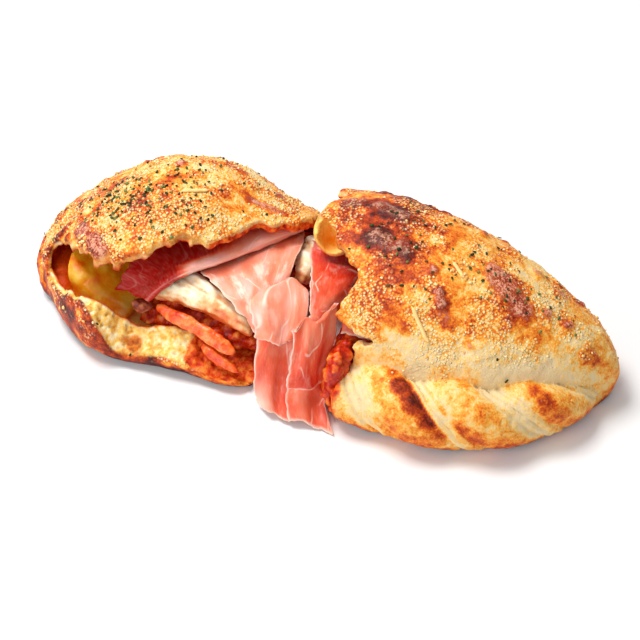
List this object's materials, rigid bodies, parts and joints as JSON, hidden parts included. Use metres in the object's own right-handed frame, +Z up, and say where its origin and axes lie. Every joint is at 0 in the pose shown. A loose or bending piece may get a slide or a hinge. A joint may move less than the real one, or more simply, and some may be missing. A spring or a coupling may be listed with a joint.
{
  "type": "panzerotto",
  "caption": "Baked panzerotto torn open into two halves, showing cured ham, mozzarella, tomato and ragu, with a rolled dough edge",
  "frame": {"origin": "middle of the bounding box's underside, on the surface the food lies on", "axes": "+X runs along the panzerotto from the left half's tip to the right half's tip, +Y goes to its back, away from the rolled edge and the mouth, +Z is up"},
  "size_m": [0.2818, 0.1212, 0.0685],
  "materials": {
    "crust": "golden-brown baked dough, paler in the folds, with cheese crumbs and herbs",
    "ragu": "moist red meat sauce",
    "mozzarella": "soft white cheese",
    "melted_cheese": "melted orange-yellow cheese",
    "tomato": "wet red tomato",
    "cooked_ham": "browned ham",
    "ham": "thin moist slices of pink cured ham with white fat"
  },
  "bodies": {
    "root": {"crust_left": "crust", "crust_right": "crust", "ragu_left": "ragu", "ragu_right": "ragu", "mozzarella_left": "mozzarella", "mozzarella_back": "mozzarella", "melted_cheese": "melted_cheese", "tomato_upper": "tomato", "tomato_lower": "tomato", "ham_curl": "cooked_ham", "ham_back": "ham", "ham_left": "ham", "ham_apron": "ham", "ham_tail_left": "ham", "ham_right": "ham", "ham_drape": "ham", "ham_tail_right": "ham", "ham_inner": "ham"}
  },
  "joints": []
}
